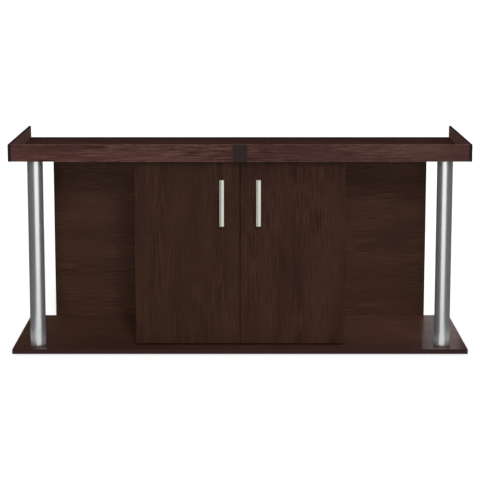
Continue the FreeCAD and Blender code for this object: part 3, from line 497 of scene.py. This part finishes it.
def moulded_plastic(name, colour, roughness, specular=0.4):
    """Moulded plastic with a fine spark-eroded skin."""
    material, tree, shader = new_material(name, IOR=1.5, Specular_IOR_Level=specular)
    place = own_place(tree)
    skin = stretched_noise(tree, place, SKIN_PER_METRE, detail=2.0)
    bloom = stretched_noise(tree, place, BLOOM_PER_METRE, detail=4.0)
    paler = tuple(min(1.0, part * BLOOM_GAIN + BLOOM_LIFT) for part in linear(colour)[:3]) + (1.0,)
    shade = blend_colours(tree, remap(tree, bloom, *BLOOM_RANGE, 0.0, 1.0), linear(colour), paler)
    tree.links.new(shade, shader.inputs["Base Color"])
    smoothest = roughness - SKIN_SMOOTHER
    roughest = roughness + SKIN_ROUGHER
    rough = remap(tree, skin, *SKIN_RANGE, smoothest, roughest)
    tree.links.new(rough, shader.inputs["Roughness"])
    set_bump(tree, shader, skin, *SKIN_BUMP)
    return material


def beech():
    """Raw beech of the dowels: pale, with short flecks along each dowel."""
    material, tree, shader = new_material("beech_dowel", IOR=1.5, Specular_IOR_Level=0.2)
    grain_place = turn_along(tree, own_place(tree), "z")
    grain = place_group(tree, GRAIN, {
        "Position": grain_place, "Dark": linear(BEECH_DARK), "Light": linear(BEECH_LIGHT),
        "Contrast": 0.8, "Streak Width": 0.0012})
    tree.links.new(grain["Colour"], shader.inputs["Base Color"])
    rough = calculate(tree, "ADD", grain["Roughness"], BEECH_ROUGHNESS)
    tree.links.new(rough, shader.inputs["Roughness"])
    set_bump(tree, shader, grain["Height"], *BEECH_BUMP)
    return material


def dress(material, *names):
    """Puts one material on CAD nodes."""
    for name in names:
        mesh = NODES[name].data
        mesh.materials.clear()
        mesh.materials.append(material)


def dress_board(node, *grain, **looks):
    """Puts a laminate of its own on one board."""
    dress(laminate(node, *grain, **looks), node)


def dress_boards():
    dress_board("left_door", "z", DOOR_DARK, DOOR_LIGHT, contrast=1.05, streak=0.0042, wear=0.12)
    dress_board("right_door", "z", RIGHT_DOOR_DARK, RIGHT_DOOR_LIGHT, contrast=1.75, streak=0.0042,
                wear=0.12)
    # The fascia's right half is painted darker as shade, and its worn edge colour at full amount is mostly a
    # painted highlight along its top edge.
    dress_board("front_fascia", "x", FASCIA_DARK, FASCIA_LIGHT, contrast=1.45, streak=0.0042, wear=1.0,
                edge_width=0.0024, right_tint=FASCIA_RIGHT_TINT, banded={"X": FASCIA_DARK},
                band_reach=END_BAND_REACH)
    for side in SIDES:
        dress_board(f"{side}_rim", "y", RIM_DARK, RIM_LIGHT, contrast=0.45, specular=0.02, wear=0.1,
                    banded={"Y": RIM_BAND, "Z": RIM_BAND}, band_reach=RIM_BAND_REACH)
    # The top panel is painted lighter towards its front: painted light.
    dress_board("top_panel", "x", TOP_DARK, TOP_LIGHT, specular=0.02, dust=0.05,
                front_tint=TOP_FRONT_TINT, front_reach=TOP_FRONT_REACH)
    # The base is painted lighter towards its right end, as painted light, and darker at its front, as painted
    # shade.
    dress_board("base_panel", "x", BASE_DARK, BASE_LIGHT, roughness=0.30, specular=0.04, wear=0.08,
                right_tint=BASE_RIGHT_TINT, front_tint=BASE_FRONT_TINT,
                banded={"Y": BASE_EDGE_RED, "X": EDGE_BAND})
    dress_board("back_panel", "x", BACK_DARK, BACK_LIGHT, contrast=1.05, streak=0.0046,
                banded={"X": EDGE_BAND}, band_reach=END_BAND_REACH)
    for name in ("left_side_panel", "right_side_panel", "centre_partition"):
        dress_board(name, "z", BOARD_DARK, BOARD_LIGHT)
    dress_board("right_shelf", "x", BOARD_DARK, BOARD_LIGHT)


def dress_fittings():
    column = brushed_metal("satin_column", "z", COLUMN_METAL, roughness=0.32, cloudy=0.98, bump=0.02,
                           metallic=0.90)
    dress(column, "left_column", "right_column")
    dress(handle_metal(), "left_handle", "right_handle")
    dress(brushed_metal("badge_plate", "x", BADGE_GREY, roughness=0.42), "badge_plate")
    zinc = brushed_metal("zinc_steel", "z", PLATED_STEEL, roughness=0.34, line_width=0.0004, line_length=0.01)
    dress(zinc, "back_screws", "base_screws", "cam_bolts", "catch_screws", "column_bolts", "pivot_pins",
          "shelf_pins")
    for side in SIDES:
        dress(zinc, f"{side}_handle_screws", f"{side}_strike_plate", f"{side}_strike_screw")
    cast = brushed_metal("die_cast_zinc", "x", DIE_CAST_ZINC, roughness=0.48, line_width=0.002,
                         line_length=0.004)
    dress(cast, "cam_discs")
    nylon = moulded_plastic("brown_nylon", NYLON_BROWN, roughness=0.55, specular=0.1)
    dress(nylon, "column_plugs", "thrust_washers", "left_door_bushes", "right_door_bushes")
    dress(BLACK_PLASTIC, "floor_glides")
    for side in SIDES:
        dress(BLACK_PLASTIC, f"{side}_hose_grommet", f"{side}_catch_housing")
    magnet = moulded_plastic("pressed_magnet", MAGNET_GREY, roughness=0.62)
    dress(magnet, "left_catch_magnet", "right_catch_magnet")
    dress(beech(), "panel_dowels", "rim_dowels")


# Domed caps in rows on the bay walls, and domed stops on the doors' backs

def make_stud_tree():
    """Geometry nodes that set a domed, flat-backed stud on each point, turned to the point's facing."""
    tree = bpy.data.node_groups.new("domed studs", "GeometryNodeTree")
    names = {}
    tree.interface.new_socket("Geometry", in_out="INPUT", socket_type="NodeSocketGeometry")
    kinds = {"Radius": VALUE, "Height": VALUE, "Segments": "NodeSocketInt", "Finish": "NodeSocketMaterial"}
    for label, kind in kinds.items():
        names[label] = tree.interface.new_socket(label, in_out="INPUT", socket_type=kind).identifier
    tree.interface.new_socket("Geometry", in_out="OUTPUT", socket_type="NodeSocketGeometry")
    given = tree.nodes.new("NodeGroupInput").outputs
    result = tree.nodes.new("NodeGroupOutput").inputs
    around = calculate(tree, "ADD", given["Segments"], 1.0)
    sheet = add_node(tree, "GeometryNodeMeshGrid", {
        "Size X": 1.0, "Size Y": 1.0, "Vertices X": STUD_RINGS, "Vertices Y": around}).outputs["Mesh"]
    spot = split_axes(tree, add_node(tree, "GeometryNodeInputPosition").outputs[0])
    sweep = calculate(tree, "MULTIPLY", calculate(tree, "ADD", spot["X"], 0.5), math.pi)
    turn = calculate(tree, "MULTIPLY", calculate(tree, "ADD", spot["Y"], 0.5), 2 * math.pi)
    reach = calculate(tree, "MULTIPLY", calculate(tree, "SINE", sweep), given["Radius"])
    swell = calculate(tree, "MAXIMUM", calculate(tree, "COSINE", sweep), 0.0)
    rise = calculate(tree, "MULTIPLY", swell, given["Height"])
    wide = calculate(tree, "MULTIPLY", reach, calculate(tree, "COSINE", turn))
    deep = calculate(tree, "MULTIPLY", reach, calculate(tree, "SINE", turn))
    place = join_axes(tree, wide, deep, rise)
    turned = add_node(tree, "GeometryNodeSetPosition", {"Geometry": sheet, "Position": place}).outputs[0]
    weld = {"Geometry": turned, "Distance": STUD_WELD}
    closed = add_node(tree, "GeometryNodeMergeByDistance", weld).outputs[0]
    smooth = add_node(tree, "GeometryNodeSetShadeSmooth", {"Geometry": closed}).outputs[0]
    facing = add_node(tree, "GeometryNodeInputNamedAttribute", {"Name": "facing"}, data_type="FLOAT_VECTOR")
    aim = add_node(tree, "FunctionNodeAlignRotationToVector", {"Vector": facing.outputs[0]}, axis="Z")
    studs = add_node(tree, "GeometryNodeInstanceOnPoints", {
        "Points": given["Geometry"], "Instance": smooth, "Rotation": aim.outputs[0]}).outputs[0]
    real = add_node(tree, "GeometryNodeRealizeInstances", {"Geometry": studs}).outputs[0]
    finish = {"Geometry": real, "Material": given["Finish"]}
    finished = add_node(tree, "GeometryNodeSetMaterial", finish).outputs[0]
    tree.links.new(finished, result["Geometry"])
    return tree, names


def make_studs(name, body, places, facings, **sizes):
    """One mesh of studs that rides on a body."""
    mesh = bpy.data.meshes.new(name)
    mesh.from_pydata(places, [], [])
    aims = mesh.attributes.new("facing", "FLOAT_VECTOR", "POINT")
    aims.data.foreach_set("vector", [part for facing in facings for part in facing])
    piece = bpy.data.objects.new(name, mesh)
    SCENE.collection.objects.link(piece)
    modifier = piece.modifiers.new("studs", "NODES")
    modifier.node_group = STUD_TREE
    for label, value in sizes.items():
        modifier[STUD_INPUTS[label]] = value
    modifier[STUD_INPUTS["Finish"]] = BLACK_PLASTIC
    graph = bpy.context.evaluated_depsgraph_get()
    made = bpy.data.meshes.new_from_object(piece.evaluated_get(graph))
    piece.modifiers.remove(modifier)
    piece.data = made
    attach(piece, body)


def make_hole_caps():
    """Caps on the bay walls, in rows through the shelf pins, with the pins' own places left free."""
    pins_low, pins_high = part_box("shelf_pins")
    pin_height = (pins_low.z + pins_high.z) / 2
    pin_radius = (pins_high.z - pins_low.z) / 2
    rows = (pins_low.y + pin_radius, pins_high.y - pin_radius)
    partition_low, partition_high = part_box("centre_partition")
    walls = {
        "left": ((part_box("left_side_panel")[1].x, 1.0), (partition_low.x, -1.0)),
        "right": ((partition_high.x, 1.0), (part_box("right_side_panel")[0].x, -1.0)),
    }
    places = []
    facings = []
    for side, faces in walls.items():
        for wall, facing in faces:
            for row in rows:
                for step in range(-HOLES_EACH_WAY, HOLES_EACH_WAY + 1):
                    if side == "right" and step == 0:
                        continue
                    places.append((wall, row, pin_height + step * HOLE_PITCH))
                    facings.append((facing, 0.0, 0.0))
    make_studs("hole_caps", "cabinet", places, facings,
               Radius=CAP_RADIUS, Height=CAP_HEIGHT, Segments=STUD_SEGMENTS)


def make_door_stops():
    """Two soft stops on each door's back, where it meets the partition."""
    for side in SIDES:
        low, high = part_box(f"{side}_door")
        edge = min(abs(low.x), abs(high.x))
        sign = 1.0 if side == "right" else -1.0
        across = sign * (edge + STOP_INSET)
        places = [(across, high.y, low.z + STOP_END), (across, high.y, high.z - STOP_END)]
        make_studs(f"{side}_door_stops", f"{side}_door", places, [(0.0, 1.0, 0.0)] * 2,
                   Radius=STOP_RADIUS, Height=STOP_HEIGHT, Segments=STUD_SEGMENTS)


# Stage and light

def bare_material(name):
    """A material for the stage, with no nodes yet."""
    material = bpy.data.materials.new(name)
    material.use_nodes = True
    material.node_tree.nodes.clear()
    return material, material.node_tree


def make_sheet(name, corners, material):
    """One flat face through the given corners."""
    mesh = bpy.data.meshes.new(name)
    mesh.from_pydata(corners, [], [tuple(range(len(corners)))])
    mesh.materials.append(material)
    sheet = bpy.data.objects.new(name, mesh)
    SCENE.collection.objects.link(sheet)
    return sheet


def make_floor():
    """A wide white floor: bright enough to read as white, and darker where the cabinet shades it."""
    material, tree = bare_material("white_floor")
    white = (FLOOR_ALBEDO, FLOOR_ALBEDO, FLOOR_ALBEDO, 1.0)
    paint = add_node(tree, "ShaderNodeBsdfDiffuse", {"Color": white})
    path = add_node(tree, "ShaderNodeLightPath").outputs
    depth = split_axes(tree, own_place(tree))["Y"]
    before = remap(tree, depth, *FLOOR_FADE_BEFORE, FLOOR_GLOW, FLOOR_GLOW_NEAR)
    behind = remap(tree, depth, *FLOOR_FADE_BEHIND, 0.0, FLOOR_GLOW)
    mirrored = calculate(tree, "MULTIPLY", calculate(tree, "MAXIMUM", before, behind), path["Is Glossy Ray"])
    direct = calculate(tree, "MAXIMUM", path["Is Camera Ray"], path["Is Transmission Ray"])
    strength = calculate(tree, "ADD", calculate(tree, "MULTIPLY", direct, FLOOR_GLOW), mirrored)
    glow = add_node(tree, "ShaderNodeEmission", {"Strength": strength})
    surface = add_node(tree, "ShaderNodeAddShader", {0: paint.outputs[0], 1: glow.outputs[0]})
    add_node(tree, "ShaderNodeOutputMaterial", {"Surface": surface.outputs[0]})
    low = -FLOOR_REACH
    high = FLOOR_REACH
    corners = [(low, low, 0.0), (high, low, 0.0), (high, high, 0.0), (low, high, 0.0)]
    floor = make_sheet("floor", corners, material)


def make_cards():
    """Upright cards for mirrors: dark sides and light feet on the columns, a dark sheen on the boards."""
    for name, (start, end, low, high, foot_grey, grey) in CARDS.items():
        material, tree = bare_material(name)
        rise = split_axes(tree, own_place(tree))["Z"]
        strength = remap(tree, rise, 0.0, CARD_FOOT_RISE, foot_grey, grey)
        glow = add_node(tree, "ShaderNodeEmission", {"Strength": strength})
        add_node(tree, "ShaderNodeOutputMaterial", {"Surface": glow.outputs[0]})
        corners = [(*start, low), (*end, low), (*end, high), (*start, high)]
        card = make_sheet(name, corners, material)
        card.visible_camera = False
        card.visible_diffuse = False
        card.visible_transmission = False
        card.visible_shadow = False


def make_room():
    """Even white surroundings: the eye and mirrors see white, and surfaces get soft light from all sides."""
    world = bpy.data.worlds.new("white_room")
    SCENE.world = world
    world.use_nodes = True
    tree = world.node_tree
    tree.nodes.clear()
    path = add_node(tree, "ShaderNodeLightPath").outputs
    seen = calculate(tree, "MAXIMUM", path["Is Camera Ray"], path["Is Glossy Ray"])
    seen = calculate(tree, "MAXIMUM", seen, path["Is Transmission Ray"])
    strength = remap(tree, seen, 0.0, 1.0, AMBIENT, 1.0)
    room = add_node(tree, "ShaderNodeBackground", {"Color": (1.0, 1.0, 1.0, 1.0), "Strength": strength})
    add_node(tree, "ShaderNodeOutputWorld", {"Surface": room.outputs[0]})


def make_lamps():
    """Lamps from all round. The key light passes the columns, so they leave no crisp shadow of it."""
    columns = bpy.data.collections.new("columns")
    for side in SIDES:
        columns.objects.link(NODES[f"{side}_column"])
    for member in columns.collection_objects:
        member.light_linking.link_state = "EXCLUDE"
    for name, (strength, height, turn, spread) in LAMPS.items():
        light = bpy.data.lights.new(name, "SUN")
        light.energy = strength
        light.angle = math.radians(spread)
        lamp = bpy.data.objects.new(name, light)
        lamp.rotation_euler = (math.radians(90.0 - height), 0.0, math.radians(turn))
        lamp.visible_glossy = False
        if name == "key_light":
            lamp.light_linking.blocker_collection = columns
        SCENE.collection.objects.link(lamp)


def make_camera():
    lens = bpy.data.cameras.new("photo_camera")
    lens.sensor_width = CAMERA_SENSOR
    lens.lens = CAMERA_LENS
    lens.shift_y = CAMERA_SHIFT
    camera = bpy.data.objects.new("photo_camera", lens)
    camera.location = CAMERA_PLACE
    camera.rotation_euler = (math.pi / 2 - CAMERA_PITCH, 0.0, 0.0)
    SCENE.collection.objects.link(camera)
    SCENE.camera = camera


BLACK_PLASTIC = moulded_plastic("black_plastic", MOULDED_BLACK, roughness=0.50)
STUD_TREE, STUD_INPUTS = make_stud_tree()

make_camera()
dress_boards()
dress_fittings()
make_hole_caps()
make_door_stops()
make_floor()
make_cards()
make_room()
make_lamps()
SCENE.view_settings.view_transform = "Standard"
